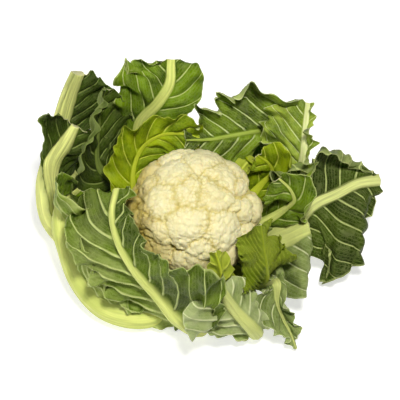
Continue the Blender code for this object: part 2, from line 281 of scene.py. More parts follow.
def noise_node(nodes, links, coordinate, scale, detail=3.0):
    """Cloudy noise from 0 to 1, about one patch per 1/scale metres."""
    node = nodes.new("ShaderNodeTexNoise")
    links.new(coordinate, node.inputs["Vector"])
    node.inputs["Scale"].default_value = scale
    node.inputs["Detail"].default_value = detail
    node.inputs["Roughness"].default_value = 0.55
    return node.outputs["Fac"]


def ramp_node(nodes, links, factor, low, high):
    """Stretch the range from low to high over 0 to 1, with soft ends."""
    node = nodes.new("ShaderNodeMapRange")
    node.interpolation_type = "SMOOTHSTEP"
    node.inputs["From Min"].default_value = low
    node.inputs["From Max"].default_value = high
    links.new(factor, node.inputs["Value"])
    return node.outputs["Result"]


def math_node(nodes, links, kind, first, second=0.0):
    """One sum on two numbers, each either a socket or a plain value."""
    node = nodes.new("ShaderNodeMath")
    node.operation = kind
    for socket, value in zip(node.inputs, (first, second)):
        if isinstance(value, bpy.types.NodeSocket):
            links.new(value, socket)
        else:
            socket.default_value = value
    return node.outputs[0]


def bump_node(nodes, links, height, distance, strength, under=None):
    """A finer relief than the mesh holds, on top of another one if that is given."""
    node = nodes.new("ShaderNodeBump")
    node.inputs["Distance"].default_value = distance
    node.inputs["Strength"].default_value = strength
    links.new(height, node.inputs["Height"])
    if under is not None:
        links.new(under, node.inputs["Normal"])
    return node.outputs["Normal"]


def curd_finish():
    """Ivory buds with painted shade: darker gold in the clefts, along the seams of knobs and where the
    grains part, brown spots near the clefts that are partly painted shade, and a dark ochre painted
    shadow over the left flank, with half as much of that tint lower down.
    """
    mat, shader, nodes, links = shader_of("curd_buds")
    place = nodes.new("ShaderNodeTexCoord").outputs["Object"]
    patch = ramp_node(nodes, links, noise_node(nodes, links, place, 28), 0.35, 0.7)
    colour = mix_node(nodes, links, patch, (0.77, 0.71, 0.40, 1), (0.83, 0.78, 0.49, 1))
    # Painted shade where the grains part.
    fine = math_node(nodes, links, "MULTIPLY", read_value(nodes, "fine"), 0.75)
    colour = mix_node(nodes, links, fine, colour, (0.58, 0.46, 0.12, 1))
    # Brown spots near the clefts: partly the curd's own spotting and partly painted shade beside the
    # clefts.
    spots_and_cleft_shade = math_node(nodes, links, "MULTIPLY", read_value(nodes, "brink"),
                      ramp_node(nodes, links, noise_node(nodes, links, place, 140), 0.42, 0.66))
    colour = mix_node(nodes, links, math_node(nodes, links, "MULTIPLY", spots_and_cleft_shade, 0.55), colour,
                      (0.60, 0.49, 0.15, 1))
    # Painted shade along the seams between knobs.
    seam = math_node(nodes, links, "MULTIPLY", read_value(nodes, "seam"),
                     ramp_node(nodes, links, noise_node(nodes, links, place, 55), 0.3, 0.75))
    colour = mix_node(nodes, links, math_node(nodes, links, "MULTIPLY", seam, 0.28), colour,
                      (0.58, 0.48, 0.13, 1))
    # Painted shade deep in the clefts between clusters.
    cleft = math_node(nodes, links, "MULTIPLY", read_value(nodes, "cleft"), 0.6)
    colour = mix_node(nodes, links, cleft, colour, (0.47, 0.39, 0.08, 1))
    # Painted shade: the left flank is multiplied by a dark ochre, and the lower curd by half as much of
    # it.
    tint = mix_node(nodes, links, 1.0, colour, (0.56, 0.46, 0.09, 1), "MULTIPLY")
    left_shade_and_low_tint = math_node(nodes, links, "MULTIPLY", read_value(nodes, "left_shade_and_low_tint"), 0.95)
    colour = mix_node(nodes, links, left_shade_and_low_tint, colour, tint)
    links.new(colour, shader.inputs["Base Color"])
    shader.inputs["Roughness"].default_value = 0.62
    shader.inputs["Specular IOR Level"].default_value = 0.25
    shader.inputs["Subsurface Weight"].default_value = 0.25
    shader.inputs["Subsurface Radius"].default_value = (1.0, 0.75, 0.35)
    shader.inputs["Subsurface Scale"].default_value = 0.004
    buds = nodes.new("ShaderNodeTexVoronoi")
    links.new(place, buds.inputs["Vector"])
    buds.inputs["Scale"].default_value = 620
    grainy = bump_node(nodes, links, buds.outputs["Distance"], 0.0006, 0.35)
    links.new(grainy, shader.inputs["Normal"])
    return mat


CURD_COUNT = 300                 # points along each side of its grid
points, values = curd_surface(CURD_COUNT)
edge = np.arange(CURD_COUNT)
rim = np.concatenate([edge * CURD_COUNT, (CURD_COUNT - 1) * CURD_COUNT + edge[1:],
                      (edge * CURD_COUNT + CURD_COUNT - 1)[-2::-1], edge[-2:0:-1]])
new_piece("curd_head", points, grid_faces(CURD_COUNT, CURD_COUNT), curd_finish(), "curd",
          values, loose=[tuple(int(k) for k in rim)])


# ---- The stem -----------------------------------------------------------------------------------
# The stump is a thick pale stalk, cut square with a knife; old leaf scars ring it, and the cut face
# is mottled creamy flesh with shallow rings in its relief.
def stem_finish():
    """Pale green rind with fibres along it, and a creamy cut face below."""
    mat, shader, nodes, links = shader_of("stem_rind")
    place = nodes.new("ShaderNodeTexCoord").outputs["Object"]
    stretch = nodes.new("ShaderNodeMapping")
    stretch.inputs["Scale"].default_value = (1, 1, 0.15)
    links.new(place, stretch.inputs["Vector"])
    fibre = ramp_node(nodes, links, noise_node(nodes, links, stretch.outputs[0], 260), 0.35, 0.7)
    colour = mix_node(nodes, links, fibre, (0.47, 0.52, 0.22, 1), (0.66, 0.68, 0.40, 1))
    flesh = mix_node(nodes, links, noise_node(nodes, links, place, 400), (0.72, 0.72, 0.46, 1),
                     (0.80, 0.78, 0.56, 1))
    colour = mix_node(nodes, links, read_value(nodes, "cut"), colour, flesh)
    links.new(colour, shader.inputs["Base Color"])
    shader.inputs["Roughness"].default_value = 0.6
    links.new(bump_node(nodes, links, fibre, 0.0008, 0.5), shader.inputs["Normal"])
    return mat


STEM_ROWS, STEM_COLUMNS, FACE_ROWS = 90, 160, 24


def stem_surface():
    """A turned stump: the radius follows a profile that is waisted half way up, with scars as shallow
    waves that climb it in a spiral. Rings of shrinking radius close the cut face."""
    radius = (stem_high[0] - stem_low[0]) / 2
    top = stem_high[2] - axis.z
    turn = np.linspace(0, 2 * np.pi, STEM_COLUMNS, endpoint=False)[None, :]
    s = np.linspace(0, 1, STEM_ROWS)[:, None]
    wall = radius * (0.93 + 0.05 * (2 * s - 1) ** 2 + 0.018 * np.sin(3 * turn + 26 * s)
                     + 0.008 * np.sin(11 * turn - 9 * s))
    z = top * s + 0 * turn
    foot = 1 - 0.06 * np.exp(-s * top / (1.5 * MM))
    ring = np.stack([wall * foot * np.cos(turn), wall * foot * np.sin(turn), z], -1)
    inner = np.linspace(0.02, 0.97, FACE_ROWS)[:, None]
    rough = 0.12 * MM * (1 + np.sin(9 * inner * np.pi)) * (1 - inner)
    face = np.stack([ring[0, :, 0] * inner, ring[0, :, 1] * inner, rough + 0 * turn], -1)
    return np.concatenate([face, ring])


stem_points = stem_surface()
rows = len(stem_points)
i, j = np.meshgrid(np.arange(rows - 1), np.arange(STEM_COLUMNS), indexing="ij")
beside = (j + 1) % STEM_COLUMNS
stem_faces = np.stack([i * STEM_COLUMNS + j, i * STEM_COLUMNS + beside,
                       (i + 1) * STEM_COLUMNS + beside, (i + 1) * STEM_COLUMNS + j], -1).reshape(-1, 4)
cut_mark = np.repeat((np.arange(rows) < FACE_ROWS).astype(float), STEM_COLUMNS)
new_piece("stem_stump", stem_points.reshape(-1, 3), stem_faces, stem_finish(), "stem",
          {"cut": cut_mark}, loose=[tuple(range(STEM_COLUMNS - 1, -1, -1)),
                                    tuple(range((rows - 1) * STEM_COLUMNS, rows * STEM_COLUMNS))])


# ---- The front leaves ---------------------------------------------------------------------------
# Each leaf is one growth: a thick fleshy rib that leaves the stem, and a thin crinkled blade on both
# its sides. Side veins run from the rib to the wavy margin. The knife has cut the long ones short.
#
# A leaf's measures are in millimetres and degrees. It is laid out by stations from its root to its end:
# bearing, distance from the axis and height; the widths from the rib's middle to the left and the
# right margin; the left half's rise from the rib and its further curl; the same two for the right
# half; and the rib's whole width.
RIB_COLUMNS, BLADE_COLUMNS = 10, 38        # points across half a rib, and from there to the margin
BLADE_THICK = 0.9


def follow(values, knots, at):
    """Values on a smooth curve through the stations: a cubic on each stretch, with the slope at a
    station that the parabola through it and its two neighbours has there."""
    slopes = np.gradient(values, knots, axis=0)
    i = np.clip(np.searchsorted(knots, at, side="right") - 1, 0, len(knots) - 2)
    h = (knots[i + 1] - knots[i])[:, None]
    f = (at - knots[i])[:, None] / h
    return ((1 + 2 * f) * (1 - f) ** 2 * values[i] + f * (1 - f) ** 2 * h * slopes[i]
            + f * f * (3 - 2 * f) * values[i + 1] + f * f * (f - 1) * h * slopes[i + 1])


def unit(arrows):
    """The same directions, each of length 1."""
    return arrows / np.maximum(np.linalg.norm(arrows, axis=-1, keepdims=True), 1e-9)


def flat_noise(across, along, size, seed):
    """Smooth noise over a leaf's own two measures."""
    spot = np.stack([across.ravel(), along.ravel(), np.full(across.size, 0.37 * size)], -1)
    return soft_noise(spot, size, seed).reshape(across.shape)


def running_sum(steps):
    """Sum of a row of steps so far, from 0."""
    return np.concatenate([np.zeros((len(steps), 1)), np.cumsum(steps, axis=1)], axis=1)


def half_leaf(side, path, ahead, up, width, rib, rise, curl, sweep, along, tip, lobe, roll, seed):
    """One side of the blade, rib to margin. Its section is a line of the half's width that leaves the
    rib at the rise angle and bends on by the curl angle. Its margin swings in three sizes of lobe,
    narrows to the tip as a root of the way to the end, sways with the blade, rolls over in places,
    and is swept forwards along the rib."""
    reach = along / along[-1]
    blade = np.clip((width - rib) / 6, 0, 1)       # 0 where the leaf is only a stalk
    along_row = along[:, None]
    margin = side * 50 + 0 * along_row             # where this side's margin reads its noise
    wave = sum(swing * flat_noise(margin, along_row, size, seed + k)
               for k, (swing, size) in enumerate(((3.4, 23), (1.7, 8), (0.7, 3.2))))[:, 0]
    off = np.clip((reach - 1 + tip) / tip, 0, 1)
    width = rib + (np.maximum(width, rib) - rib) * np.sqrt(1 - 0.93 * off ** 2.5) + lobe * wave * blade
    width = np.maximum(width, rib * 1.02)[:, None]
    first = np.linspace(0, 1, RIB_COLUMNS + 1)
    rest = np.linspace(0, 1, BLADE_COLUMNS + 1)[1:]
    x = np.concatenate([rib[:, None] * first, rib[:, None] + (width - rib[:, None]) * rest], axis=1)
    q = x / width
    sway = 0.35 * flat_noise(margin, along_row, 42, seed + 3)
    turn = roll * flat_noise(margin, along_row, 19, seed + 4)
    angle = np.radians(rise)[:, None] + np.radians(curl)[:, None] * q ** 1.2
    angle = angle + blade[:, None] * (sway * q + turn * np.clip((q - 0.62) / 0.38, 0, 1) ** 2)
    middle = (angle[:, 1:] + angle[:, :-1]) / 2
    step = np.diff(x, axis=1)
    out, lift = running_sum(np.cos(middle) * step), running_sum(np.sin(middle) * step)
    lead = sweep * width * q ** 1.5 * np.clip(reach / 0.3, 0, 1)[:, None]
    aside = np.cross(ahead, up) * side
    sheet = path[:, None] + aside[:, None] * out[..., None] + up[:, None] * lift[..., None]
    return sheet + ahead[:, None] * lead[..., None], x, q


def leaf_body(stations, seed, faces=(0, 0, 95), sweep=0.25, tip=0.12, pitch=17.0, slant=0.7,
              ruffle=1.6, quilt=2.0, lobe=1.4, roll=1.8):
    """The sheet half way through a leaf, its normals and its measures, row by row from the root.
    The rib's path runs smoothly through the stations. Its upper side is towards the place that the
    leaf faces, or turns from a first place to a last one. The sheet swells between the side veins,
    which leave the rib every pitch and slant forwards; it puckers in small cells and is wavy, most
    of all at its margin."""
    table = np.array(stations, float)
    bearing = np.radians(table[:, 0])
    route = np.stack([table[:, 1] * np.cos(bearing), table[:, 1] * np.sin(bearing), table[:, 2]], -1)
    chord = np.linalg.norm(np.diff(route, axis=0), axis=1)
    knots = np.concatenate([[0], np.cumsum(chord)])
    length = knots[-1]
    row_step, fewest, most = 0.9, 110, 210
    s = np.linspace(0, length, int(np.clip(length / row_step, fewest, most)))
    path = follow(route, knots, s)
    beyond, before = np.minimum(s + 2, length), np.maximum(s - 2, 0)
    ahead = unit(follow(route, knots, beyond) - follow(route, knots, before))
    ends = np.atleast_2d(np.array(faces, float))
    part = (s / length)[:, None]
    look = ends[0] + (ends[-1] - ends[0]) * part ** 2 * (3 - 2 * part) - path
    up = unit(look - (look * ahead).sum(1, keepdims=True) * ahead)
    left, right, left_rise, left_curl, right_rise, right_curl, rib = follow(table[:, 3:], knots, s).T
    rib = np.maximum(rib / 2, 0.8)
    halves = []
    for side, width, rise, curl in ((-1, left, left_rise, left_curl), (1, right, right_rise, right_curl)):
        halves.append(half_leaf(side, path, ahead, up, width, rib, rise, curl, sweep, s, tip, lobe,
                                roll, seed * 10 + side))
    sheet, x, q = [np.concatenate([a[:, :0:-1], b], axis=1) for a, b in zip(*halves)]
    columns = sheet.shape[1]
    hand = np.sign(np.arange(columns) - columns // 2)[None, :] + 0 * x
    along = s[:, None] + 0 * x
    across = x * hand
    blade = np.clip((x - rib[:, None]) / 3, 0, 1)
    grown = np.clip(along / length / 0.25, 0, 1)
    normal = unit(np.cross(np.gradient(sheet, axis=1), np.gradient(sheet, axis=0)))

    stagger = np.where(hand > 0, 0.45, 0.0)        # the right side's veins start between the left's
    place = (along - slant * (x + 0.25 * q * x)) / pitch + stagger
    place = place + 0.18 * flat_noise(across, along, 30, seed + 40)
    from_vein = np.abs(place - np.round(place)) * 2
    spot = np.stack([across.ravel(), along.ravel() - 0.5 * x.ravel(), 0 * across.ravel()], -1)
    near, second = [d.reshape(x.shape) for d in cell_distances(spot, 9.0, seed + 50)]
    pucker = 1 - np.minimum(near, 1) ** 2
    swell = 1.9 * (1 - (1 - from_vein) ** 2) - 0.9
    height = quilt * (swell + 0.75 * pucker + flat_noise(across, along, 11, seed + 41))
    height = height + ruffle * 3.6 * q * flat_noise(across, along, 34, seed + 42)
    height = height + ruffle * 1.4 * flat_noise(across, along, 17, seed + 45)
    wavy = np.sin(2 * np.pi * along / 25 + 2.5 * flat_noise(0 * x, along, 40, seed + 43) + 2 * hand)
    crisp = np.sin(2 * np.pi * along / 9.5 + 3 * flat_noise(0 * x, along, 22, seed + 44) + hand)
    height = height + ruffle * (3.6 * q ** 2.2 * wavy + 1.3 * q ** 4 * crisp) * np.clip(x / 14, 0, 1)
    middle = sheet + normal * (height * blade * grown)[..., None]
    return middle, normal, dict(x=x, q=q, along=along, across=across, rib=rib, place=place,
                                net=second - near, blade=blade, hand=hand, length=length,
                                gap=from_vein * pitch / 2)


def clear_of_head(points):
    """Points inside the head's ellipsoid are moved straight out to it, and those that would be under
    the table are lifted just clear of it."""
    crown = (curd_high[2] - axis.z) / MM - WAIST
    away = points - [0, 0, WAIST]
    tall = np.where(away[..., 2] > 0, crown, KEEL)
    level = np.sqrt((away[..., 0] ** 2 + away[..., 1] ** 2) / (HEAD_WIDTH / 2) ** 2
                    + (away[..., 2] / tall) ** 2)
    moved = away * (np.maximum(level, 1.0) / np.maximum(level, 1e-6))[..., None] + [0, 0, WAIST]
    clear = 0.4
    moved[..., 2] = np.maximum(moved[..., 2], clear)
    return moved


def grow_leaf(name, finish, slot, stations, rib_deep=1.05, pale=(1.0, 1.0), fade=0.0, **habit):
    """Close the two faces of a leaf round its margin, root and end, and put it on the plant. Each face
    lies half a thickness off the middle sheet. The rib bulges below as half an ellipse, fluted, and a
    little above, with a channel along it near the root; the veins sink above and stand out below.
    The rings run over the upper face from left to right, then back over the underside."""
    middle, normal, m = leaf_body(stations, **habit)
    rib = m["rib"][:, None]
    bulge = np.sqrt(np.clip(1 - (m["x"] / rib) ** 2, 0, 1)) * rib * rib_deep
    channel = 0.175 * rib * np.exp(-(m["x"] / rib / 0.5) ** 2) * np.clip(1 - m["along"] / 60, 0, 1)
    edge = np.clip((m["q"] - 0.96) / 0.04, 0, 1)
    thick = BLADE_THICK * (1 - 0.6 * edge) / 2
    vein = np.exp(-(m["gap"] / (1.5 - 0.9 * m["q"])) ** 2) * m["blade"]
    top = middle + normal * (thick + 0.22 * bulge - channel - 0.25 * vein)[..., None]
    flute = 0.03 * rib * np.sin(np.arcsin(np.clip(m["across"] / rib, -1, 1)) * 9) * (m["x"] < rib)
    ridge = 0.55 * vein * (1 - 0.5 * m["q"])
    bottom = middle - normal * (thick + 0.85 * bulge + flute + ridge)[..., None]
    ring = clear_of_head(np.concatenate([top, bottom[:, ::-1]], axis=1))
    both = {key: np.concatenate([m[key], m[key][:, ::-1]], axis=1)
            for key in ("x", "q", "along", "across", "place", "net", "blade", "hand")}
    under = np.concatenate([np.zeros_like(m["x"]), np.ones_like(m["x"])], axis=1)
    pallor = np.where(both["hand"] < 0, pale[0], pale[1])
    pallor = pallor * (1 - fade * np.clip(both["along"] / m["length"] * 2 - 0.9, 0, 1))
    is_rib = np.clip((rib * 1.04 - both["x"]) / (0.25 + 0.05 * rib), 0, 1)
    centre = (ring[-1] + ring[-1, ::-1]) / 2
    ahead = unit(ring[-1].mean(0) - ring[-6].mean(0))
    lip = ring[-1] + 0.12 * (centre - ring[-1]) + ahead * 0.35      # rounds the cut end off
    points = np.concatenate([ring, lip[None]])
    size = points.shape[1]

    def full(value):
        """Values of the rings, with the last ring's again for the lip."""
        return np.concatenate([value, value[-1:]]).ravel()

    cut = np.zeros(points.shape[:2])
    cut[-1] = 1
    i, j = np.meshgrid(np.arange(len(points) - 1), np.arange(size), indexing="ij")
    turn = (j + 1) % size
    wall = np.stack([i * size + j, i * size + turn, (i + 1) * size + turn, (i + 1) * size + j], -1)
    faces = [wall.reshape(-1, 4)]
    k = np.arange(m["x"].shape[1] - 1)
    for row, flip in ((0, False), (len(points) - 1, True)):
        lid = row * size + np.stack([k, size - 1 - k, size - 2 - k, k + 1], -1)
        faces.append(lid[:, ::-1] if flip else lid)
    values = {"under": full(under * pallor), "rib": full(is_rib), "vein_place": full(both["place"]),
              "net": full(both["net"]), "reach": full(both["q"]), "blade": full(both["blade"]),
              "cut": cut.ravel()}
    uv = np.stack([full(both["across"]), full(both["along"])], -1) / 100
    new_piece(name + "_grown", points.reshape(-1, 3) * MM, np.concatenate(faces), finish,
              name, values, uv)


def paint(red, green, blue):
    """A display colour of 0 to 255 as the linear colour that a shader takes."""
    level = np.array([red, green, blue]) / 255
    return (*np.where(level < 0.04045, level / 12.92, ((level + 0.055) / 1.055) ** 2.4).tolist(), 1)


def leaf_finish(name, deep, fresh, underside, vein_colour, rib_colour):
    """Leaf skin: mottled from deep to fresh green above and bloomy grey green below, with a pale net of
    veins, streaked ribs, a light line along the margin and creamy flesh where the knife has cut."""
    mat, shader, nodes, links = shader_of(name)
    place = nodes.new("ShaderNodeTexCoord")
    flat, solid = place.outputs["UV"], place.outputs["Object"]
    patch = ramp_node(nodes, links, noise_node(nodes, links, solid, 34, 4), 0.36, 0.66)
    green = mix_node(nodes, links, patch, deep, fresh)
    speck = ramp_node(nodes, links, noise_node(nodes, links, solid, 330, 2), 0.3, 0.75)
    green = mix_node(nodes, links, math_node(nodes, links, "MULTIPLY", speck, 0.35), green, fresh)
    bloom = ramp_node(nodes, links, noise_node(nodes, links, solid, 60, 4), 0.3, 0.72)
    below = mix_node(nodes, links, bloom, underside, vein_colour)
    below = mix_node(nodes, links, 0.35, underside, below)
    rubbed = ramp_node(nodes, links, noise_node(nodes, links, solid, 26, 2), 0.5, 0.64)
    below = mix_node(nodes, links, math_node(nodes, links, "MULTIPLY", rubbed, 0.75), below, fresh)
    under = read_value(nodes, "under")
    colour = mix_node(nodes, links, under, green, below)

    reach = read_value(nodes, "reach")
    vein_place = read_value(nodes, "vein_place")      # a whole number on each side vein
    whole = math_node(nodes, links, "ROUND", vein_place)
    gap = math_node(nodes, links, "ABSOLUTE", math_node(nodes, links, "SUBTRACT", vein_place, whole))
    thin = math_node(nodes, links, "SUBTRACT", 0.072, math_node(nodes, links, "MULTIPLY", reach, 0.05))
    broad = math_node(nodes, links, "ADD", 1.0, math_node(nodes, links, "MULTIPLY", under, 0.7))
    thin = math_node(nodes, links, "MULTIPLY", thin, broad)
    main = ramp_node(nodes, links, math_node(nodes, links, "DIVIDE", gap, thin), 1.5, 0.4)
    net = ramp_node(nodes, links, read_value(nodes, "net"), 0.1, 0.0)
    net = math_node(nodes, links, "MULTIPLY", net, 0.16)
    small = nodes.new("ShaderNodeTexVoronoi")
    small.feature = "DISTANCE_TO_EDGE"
    small.inputs["Scale"].default_value = 38
    links.new(flat, small.inputs["Vector"])
    mesh_lines = ramp_node(nodes, links, small.outputs["Distance"], 0.09, 0.01)
    mesh_lines = math_node(nodes, links, "MULTIPLY", mesh_lines, 0.14)
    fives = math_node(nodes, links, "MULTIPLY", vein_place, 5.0)
    nearest = math_node(nodes, links, "ROUND", fives)
    between = math_node(nodes, links, "ABSOLUTE", math_node(nodes, links, "SUBTRACT", fives, nearest))
    veinlet = math_node(nodes, links, "MULTIPLY", ramp_node(nodes, links, between, 0.22, 0.02), 0.15)
    veins = main
    for finer in (veinlet, net, mesh_lines):
        veins = math_node(nodes, links, "MAXIMUM", veins, finer)
    veins = math_node(nodes, links, "MULTIPLY", veins, read_value(nodes, "blade"))
    colour = mix_node(nodes, links, math_node(nodes, links, "MULTIPLY", veins, 0.8), colour, vein_colour)
    rim = math_node(nodes, links, "MULTIPLY", ramp_node(nodes, links, reach, 0.965, 1.0), 0.55)
    colour = mix_node(nodes, links, rim, colour, vein_colour)

    stretch = nodes.new("ShaderNodeMapping")
    stretch.inputs["Scale"].default_value = (1, 0.05, 1)
    links.new(flat, stretch.inputs["Vector"])
    streak = ramp_node(nodes, links, noise_node(nodes, links, stretch.outputs[0], 70), 0.3, 0.7)
    band = ramp_node(nodes, links, noise_node(nodes, links, stretch.outputs[0], 26, 2), 0.42, 0.6)
    shaded = mix_node(nodes, links, 0.5, rib_colour, fresh)
    ribs = mix_node(nodes, links, math_node(nodes, links, "MULTIPLY", streak, 0.4), rib_colour, shaded)
    ribs = mix_node(nodes, links, math_node(nodes, links, "MULTIPLY", band, 0.6), ribs, shaded)
    colour = mix_node(nodes, links, read_value(nodes, "rib"), colour, ribs)
    flesh = mix_node(nodes, links, noise_node(nodes, links, solid, 500), paint(196, 194, 128),
                     paint(226, 226, 176))
    colour = mix_node(nodes, links, read_value(nodes, "cut"), colour, flesh)
    links.new(colour, shader.inputs["Base Color"])

    rough = nodes.new("ShaderNodeMapRange")
    rough.inputs["To Min"].default_value = 0.42
    rough.inputs["To Max"].default_value = 0.64
    links.new(bloom, rough.inputs["Value"])
    links.new(rough.outputs["Result"], shader.inputs["Roughness"])
    shader.inputs["Specular IOR Level"].default_value = 0.22
    shader.inputs["Specular Tint"].default_value = (0.85, 0.95, 0.4, 1)
    shader.inputs["Subsurface Weight"].default_value = 0.08
    shader.inputs["Subsurface Radius"].default_value = (0.6, 1.0, 0.25)
    shader.inputs["Subsurface Scale"].default_value = 0.003
    relief = math_node(nodes, links, "SUBTRACT", math_node(nodes, links, "MULTIPLY", speck, 0.4), veins)
    first = bump_node(nodes, links, relief, 0.0007, 0.6)
    links.new(bump_node(nodes, links, streak, 0.0004, 0.35, first), shader.inputs["Normal"])
    return mat


PALE_VEIN = paint(198, 208, 132)
wrap_finish = leaf_finish("leaf_wrap", paint(32, 52, 2), paint(86, 110, 9), paint(130, 146, 68),
                          PALE_VEIN, paint(222, 228, 132))
grey_finish = leaf_finish("leaf_bloomy", paint(84, 102, 38), paint(138, 152, 86), paint(130, 146, 82),
                          paint(218, 224, 170), paint(206, 212, 126))
grow_leaf("leaf_front_left", wrap_finish, "outer_leaf", [
    (-84, 24, 29, 9, 9, 0, 0, 0, 0, 17), (-84, 58, 15, 11, 11, 0, 0, 0, 0, 20),
    (-86, 84, 15, 30, 26, 0, 0, 0, 0, 19), (-98, 88, 34, 68, 44, 8, 12, -10, -10, 17),
    (-114, 84, 66, 84, 52, 0, 20, -20, -20, 14), (-130, 86, 94, 44, 52, 0, 30, -30, -10, 11),
    (-147, 85, 114, 28, 56, 0, 40, -30, -10, 9), (-166, 80, 124, 18, 54, 0, 40, -30, 0, 9),
    (178, 74, 132, 16, 38, 0, 30, -20, 0, 9)], pale=(0.1, 1), fade=0.8, tip=0.05,
    pitch=21, quilt=2.6, seed=3)
grow_leaf("leaf_front", grey_finish, "grey_leaf", [
    (-57, 24, 15, 8, 8, 0, 0, 0, 0, 16), (-57, 66, 12, 13, 13, 0, 0, 0, 0, 19),
    (-55, 108, 14, 16, 14, 0, 0, 0, 0, 16), (-60, 109, 40, 22, 32, 0, 0, 0, -10, 14),
    (-67, 98, 65, 28, 50, 0, 50, -20, -20, 12), (-74, 89, 92, 26, 44, 0, 60, -20, 0, 12)],
    ruffle=1.1, quilt=1.8, lobe=0.9, seed=5)
grow_leaf("leaf_front_tip", grey_finish, "grey_leaf", [
    (-27, 24, 15, 5, 5, 0, 0, 0, 0, 10), (-30, 74, 22, 7, 7, 0, 0, 0, 0, 11),
    (-36, 102, 56, 12, 18, 0, 0, 0, 0, 8), (-40, 108, 46, 15, 24, 20, 20, 20, 20, 5),
    (-42, 121, 24, 14, 18, 30, 30, 30, 30, 4), (-43, 134, 12, 10, 10, 30, 30, 30, 30, 3),
    (-45, 145, 6, 2, 2, 20, 20, 20, 20, 2)], faces=(60, -60, 150), ruffle=0.6, roll=0.6, seed=7)


# ---- The left leaves ----------------------------------------------------------------------------
# Four old leaves lie one outside the other on this side, with the broadest ribs of the plant. The
# outermost is fresh green, and the ones behind it are darker. Their rib colours hold painted light
# and shade: brightened on the ribs lit from the left, and darkened on the hindmost leaf's.
# Painted light, in part: the rib colour is the rib's own pale cream green, brightened to stand for the
# light on the low left rib.
fresh_finish = leaf_finish("leaf_fresh", paint(44, 68, 2), paint(106, 134, 12), paint(124, 140, 56),
                           PALE_VEIN, paint(222, 228, 130))
# Painted light: the rib colour is brightened beyond the rib's own to stand for the light on the ribs that
# face left.
deep_finish = leaf_finish("leaf_deep", paint(24, 38, 2), paint(52, 70, 8), paint(108, 122, 54),
                          paint(146, 160, 88), paint(240, 244, 150))
# Painted shade: a shaded copy of the deep finish, with the rib colour darkened for the hindmost leaf,
# which lies in shade.
shade_finish = leaf_finish("leaf_shade", paint(26, 40, 2), paint(56, 74, 8), paint(108, 122, 60),
                           paint(140, 154, 84), paint(120, 136, 62))
grow_leaf("leaf_left_low", fresh_finish, "outer_leaf", [
    (-112, 24, 15, 9, 9, 0, 0, 0, 0, 17), (-116, 62, 11, 13, 13, 0, 0, 0, 0, 26),
    (-128, 88, 15, 22, 14, 0, 0, 0, 0, 27), (-145, 107, 18, 44, 14, 0, 20, 0, 0, 27),
    (-161, 119, 30, 60, 14, 0, 30, 0, 0, 26), (-175, 127, 46, 66, 13, 15, 50, 0, 0, 24),
    (175, 135, 62, 58, 16, 30, 45, 0, 0, 20), (168, 135, 76, 58, 26, -15, 30, 20, 20, 13),
    (162, 124, 84, 44, 26, -30, 40, 30, 30, 8)],
    faces=((60, 120, -20), (60, 0, 90)), rib_deep=1.2, seed=11)
grow_leaf("leaf_left_mid", deep_finish, "dark_leaf", [
    (-167, 24, 15, 9, 9, 0, 0, 0, 0, 17), (-172, 70, 12, 13, 13, 0, 0, 0, 0, 26),
    (174, 116, 16, 14, 16, 0, 0, 0, 0, 28), (166, 150, 36, 14, 30, 0, 0, 0, 20, 30),
    (161, 158, 58, 15, 44, 0, 0, 10, 30, 29), (153, 164, 80, 18, 48, -40, 10, 20, 30, 22),
    (147, 158, 98, 44, 46, -60, 60, 40, 30, 15), (142, 155, 113, 66, 40, -65, 80, 40, 40, 9)],
    faces=((60, 120, -20), (0, 0, 95)), rib_deep=1.2, sweep=0.4, ruffle=0.9, lobe=0.4, roll=0.7,
    seed=13)
grow_leaf("leaf_left_back", deep_finish, "dark_leaf", [
    (156, 24, 15, 9, 9, 0, 0, 0, 0, 17), (152, 75, 11, 13, 13, 0, 0, 0, 0, 26),
    (150, 125, 20, 14, 16, 0, 0, 0, 20, 26), (144, 180, 60, 11, 38, 0, 0, 0, 50, 22),
    (138, 185, 92, 9, 48, 0, 0, 10, 60, 19), (133, 189, 115, 8, 50, 0, 0, 10, 70, 17),
    (129, 191, 133, 7, 38, 0, 0, 10, 70, 15)], rib_deep=1.2, seed=17)
grow_leaf("leaf_back_left", shade_finish, "dark_leaf", [
    (134, 24, 31, 9, 9, 0, 0, 0, 0, 16), (136, 70, 26, 12, 12, 0, 0, 0, 0, 16),
    (138, 100, 46, 38, 34, 0, 10, 0, 10, 12), (145, 121, 84, 46, 44, 0, 30, 0, 40, 8),
    (138, 132, 112, 42, 44, 0, 60, 0, 60, 6), (131, 144, 132, 36, 38, 0, 80, 0, 70, 5),
    (127, 150, 144, 18, 22, 0, 80, 0, 70, 3)], ruffle=1.2, lobe=1.0, seed=19)


